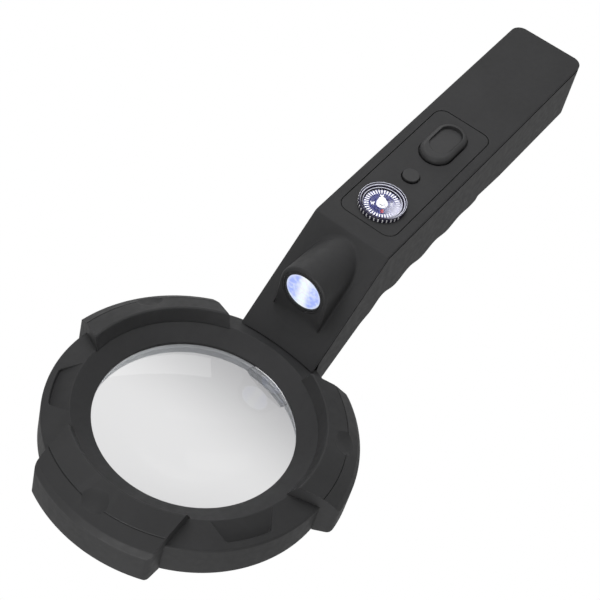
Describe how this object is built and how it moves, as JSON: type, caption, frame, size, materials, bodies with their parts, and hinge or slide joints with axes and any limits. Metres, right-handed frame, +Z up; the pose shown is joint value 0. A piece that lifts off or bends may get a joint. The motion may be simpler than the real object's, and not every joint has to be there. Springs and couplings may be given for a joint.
{
  "type": "low vision magnifier",
  "caption": "Hand-held illuminated magnifier: round lens head with armour bumpers and inset lens, sloping neck with hooded lamp, handle with compass, buttons and sliding battery cover.",
  "frame": {"origin": "centre of the bounding box at table level, with the magnifier lying at rest on the edge of its lens head and the end of its handle", "axes": "+X from the lens head towards the handle's end, +Y to the left of that direction seen from above, +Z up from the table"},
  "size_m": [0.251, 0.1012, 0.0412],
  "materials": {
    "shell_black": "fine spark-eroded texture",
    "bumper_black": "soft-touch satin",
    "clear_lens": "polished",
    "inset_clear": "polished",
    "gasket": "translucent white silicone",
    "retainer_frosted": "frosted clear moulding",
    "screw_steel": "zinc plated",
    "bezel_black": "satin",
    "lamp_clear": "clear",
    "reflector": "bright",
    "led_body": "clear epoxy over phosphor",
    "lamp_board_white": "solder mask",
    "panel_black": "fine texture",
    "compass_clear": "clear capsule",
    "compass_dial": "printed dial",
    "pivot_brass": "turned",
    "compass_glass": "polished",
    "button_black": "satin",
    "spring_steel": "drawn wire",
    "switch_black": "moulded",
    "board_green": "solder mask",
    "chip_black": "moulded",
    "cell_jacket": "shrink sleeve",
    "contact_nickel": "nickel plated",
    "wire_red": "insulation",
    "wire_black": "insulation"
  },
  "bodies": {
    "magnifier": {"front_shell": "shell_black", "rear_shell": "shell_black", "bumper_left": "bumper_black", "bumper_front": "bumper_black", "bumper_right": "bumper_black", "main_lens": "clear_lens", "inset_lens": "inset_clear", "lens_gasket": "gasket", "lens_retainer": "retainer_frosted", "retainer_screws": "screw_steel", "lamp_bezel": "bezel_black", "lamp_lens": "lamp_clear", "lamp_reflector": "reflector", "lamp_led": "led_body", "lamp_board": "lamp_board_white", "control_panel": "panel_black", "compass_case": "compass_clear", "compass_pivot": "pivot_brass", "compass_window": "compass_glass", "lamp_button_spring": "spring_steel", "mode_button_spring": "spring_steel", "lamp_switch": "switch_black", "mode_switch": "switch_black", "circuit_board": "board_green", "driver_parts": "chip_black", "board_screws": "screw_steel", "cell_left": "cell_jacket", "cell_right": "cell_jacket", "cell_springs": "spring_steel", "cell_contacts": "contact_nickel", "shell_screws": "screw_steel", "lamp_wire_red": "wire_red", "lamp_wire_black": "wire_black", "cell_wire_red": "wire_red", "cell_wire_black": "wire_black"},
    "lamp_button": {"lamp_button": "button_black"},
    "mode_button": {"mode_button": "button_black"},
    "compass_card": {"compass_card": "compass_dial"},
    "battery_cover": {"battery_cover": "shell_black"}
  },
  "joints": [
    {"name": "lamp_button_press", "type": "slide", "parent": "magnifier", "child": "lamp_button", "axis": [-0.1187, 0, -0.9929], "range_m": [0, 0.0012], "stiffness_N_per_m": 400, "springref_m": -0.001, "deforming": ["lamp_button_spring"]},
    {"name": "mode_button_press", "type": "slide", "parent": "magnifier", "child": "mode_button", "axis": [-0.1187, 0, -0.9929], "range_m": [0, 0.0007], "stiffness_N_per_m": 400, "springref_m": -0.001, "deforming": ["mode_button_spring"]},
    {"name": "compass_turn", "type": "hinge", "parent": "magnifier", "child": "compass_card", "pos_m": [0.019, 0, 0.03402], "axis": [0.1187, 0, 0.9929], "continuous": true},
    {"name": "battery_cover_slide", "type": "slide", "parent": "magnifier", "child": "battery_cover", "axis": [0.9929, 0, -0.1187], "range_m": [0, 0.06]}
  ]
}
